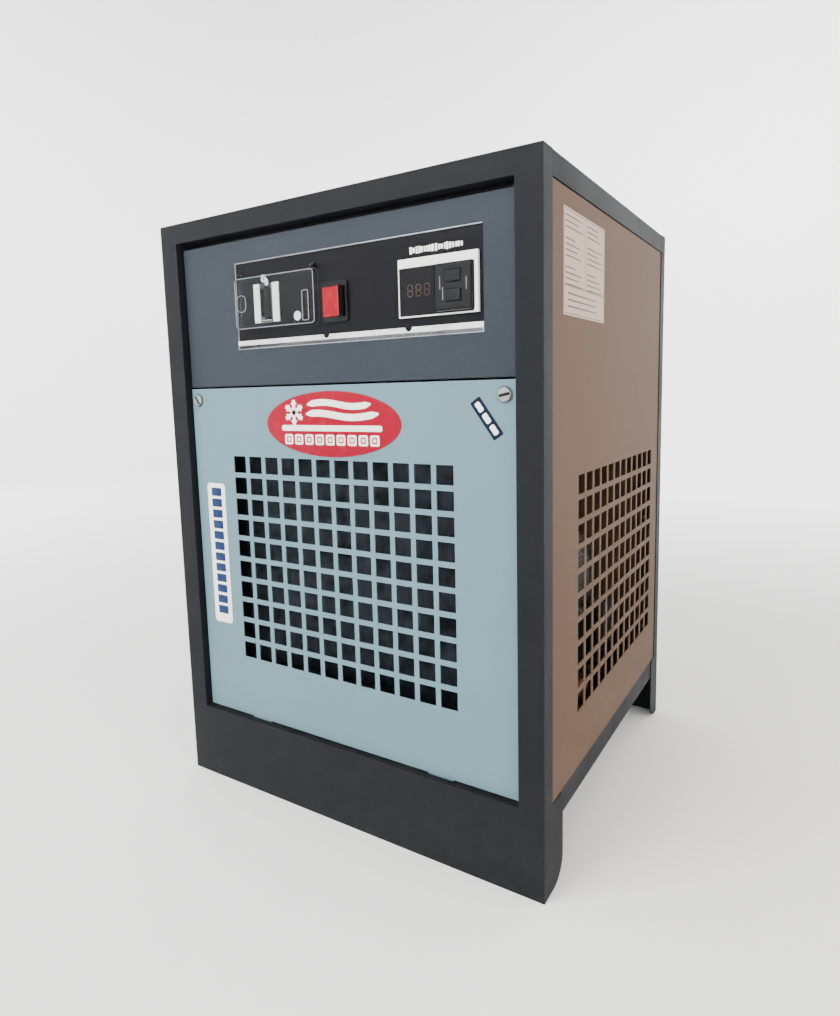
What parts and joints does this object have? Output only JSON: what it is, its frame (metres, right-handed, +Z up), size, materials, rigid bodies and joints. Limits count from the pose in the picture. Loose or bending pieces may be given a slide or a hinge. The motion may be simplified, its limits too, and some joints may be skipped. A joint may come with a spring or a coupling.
{
  "type": "refrigerated air dryer",
  "caption": "Floor-standing refrigerated compressed-air dryer: folded steel cabinet with punched grilles, tilt-out front panel, control window and a working refrigeration circuit inside.",
  "frame": {"origin": "on the floor, under the middle of the machine's overall box", "axes": "+Z up, front panel faces -Y, air ports leave towards +Y, +X to the right seen from the front"},
  "size_m": [0.5, 0.48, 0.705],
  "materials": {
    "frame_paint": "satin",
    "panel_paint": "satin",
    "control_paint": "satin",
    "side_paint": "satin",
    "black_plate": "satin",
    "bright_trim": "brushed",
    "white_plastic": "gloss",
    "black_plastic": "satin",
    "red_plastic": "gloss",
    "clear_plastic": "clear",
    "badge_print": "gloss",
    "label_print": "matt",
    "zinc": "zinc plated",
    "galvanised": "galvanised",
    "fins": "satin",
    "copper": "satin",
    "brass": "satin",
    "black_enamel": "gloss",
    "rubber": "matt",
    "foam": "matt",
    "fan_blade": "satin",
    "grey_plastic": "matt",
    "capacitor_can": "satin",
    "separator_steel": "satin",
    "lever_red": "satin"
  },
  "bodies": {
    "cabinet": {"front_frame": "frame_paint", "rear_frame": "frame_paint", "base_tray": "frame_paint", "top_cover": "frame_paint", "left_side_panel": "side_paint", "right_side_panel": "side_paint", "rear_panel": "side_paint", "panel_screws": "zinc", "control_panel": "control_paint", "instrument_plate": "black_plate", "trim_strip": "bright_trim", "breaker_body": "white_plastic", "switch_bezel": "black_plastic", "controller_body": "white_plastic", "controller_display": "black_plastic", "controller_keypad": "black_plastic", "rating_label": "label_print", "condenser_core": "fins", "condenser_plates": "galvanised", "condenser_bends": "copper", "fan_shroud": "galvanised", "fan_motor": "black_enamel", "compressor_shell": "black_enamel", "compressor_foot_plate": "black_enamel", "compressor_grommets": "rubber", "compressor_studs": "zinc", "compressor_terminal_cover": "black_plastic", "heat_exchanger": "foam", "exchanger_stand": "galvanised", "moisture_separator": "separator_steel", "drain_tube": "copper", "drain_ball_valve": "brass", "drain_solenoid": "black_plastic", "drain_outlet": "brass", "air_inlet_pipe": "separator_steel", "air_outlet_pipe": "separator_steel", "discharge_line": "copper", "suction_line": "foam", "liquid_line": "copper", "filter_drier": "copper", "capillary_tube": "copper", "hot_gas_bypass": "brass", "electrical_tray": "galvanised", "terminal_block": "grey_plastic", "run_capacitor": "capacitor_can", "cable_gland": "grey_plastic"},
    "front_door": {"front_panel": "panel_paint", "badge": "badge_print", "strip_label": "label_print", "window_label": "label_print"},
    "left_lock": {"left_lock": "zinc"},
    "right_lock": {"right_lock": "zinc"},
    "breaker_cover": {"breaker_cover": "clear_plastic"},
    "breaker_toggle": {"breaker_toggle": "black_plastic"},
    "power_rocker": {"power_rocker": "red_plastic"},
    "down_key": {"down_key": "black_plastic"},
    "up_key": {"up_key": "black_plastic"},
    "condenser_fan": {"condenser_fan": "fan_blade"},
    "drain_lever": {"drain_lever": "lever_red"}
  },
  "joints": [
    {"name": "front_panel_tilt", "type": "hinge", "parent": "cabinet", "child": "front_door", "pos_m": [0, -0.232, 0.094], "axis": [1, 0, 0], "range_deg": [0, 20]},
    {"name": "left_lock_turn", "type": "hinge", "parent": "front_door", "child": "left_lock", "pos_m": [-0.209, -0.232, 0.493], "axis": [0, 1, 0], "range_deg": [-90, 0]},
    {"name": "right_lock_turn", "type": "hinge", "parent": "front_door", "child": "right_lock", "pos_m": [0.209, -0.232, 0.493], "axis": [0, 1, 0], "range_deg": [-90, 0]},
    {"name": "breaker_cover_hinge", "type": "hinge", "parent": "cabinet", "child": "breaker_cover", "pos_m": [-0.0685, -0.2338, 0.634], "axis": [-1, 0, 0], "range_deg": [0, 110]},
    {"name": "breaker_toggle_hinge", "type": "hinge", "parent": "cabinet", "child": "breaker_toggle", "pos_m": [-0.0855, -0.2258, 0.6015], "axis": [0, 0, 1], "range_deg": [0, 70]},
    {"name": "power_rocker_hinge", "type": "hinge", "parent": "cabinet", "child": "power_rocker", "pos_m": [0.013, -0.227, 0.594], "axis": [0, 0, 1], "range_deg": [0, 24]},
    {"name": "down_key_press", "type": "slide", "parent": "cabinet", "child": "down_key", "axis": [0, 1, 0], "range_m": [0, 0.0008], "stiffness_N_per_m": 600},
    {"name": "up_key_press", "type": "slide", "parent": "cabinet", "child": "up_key", "axis": [0, 1, 0], "range_m": [0, 0.0008], "stiffness_N_per_m": 600},
    {"name": "condenser_fan_spin", "type": "hinge", "parent": "cabinet", "child": "condenser_fan", "pos_m": [0, -0.113, 0.295], "axis": [0, 1, 0], "continuous": true},
    {"name": "drain_lever_turn", "type": "hinge", "parent": "cabinet", "child": "drain_lever", "pos_m": [-0.134, 0.04, 0.1], "axis": [1, 0, 0], "range_deg": [0, 90]}
  ]
}
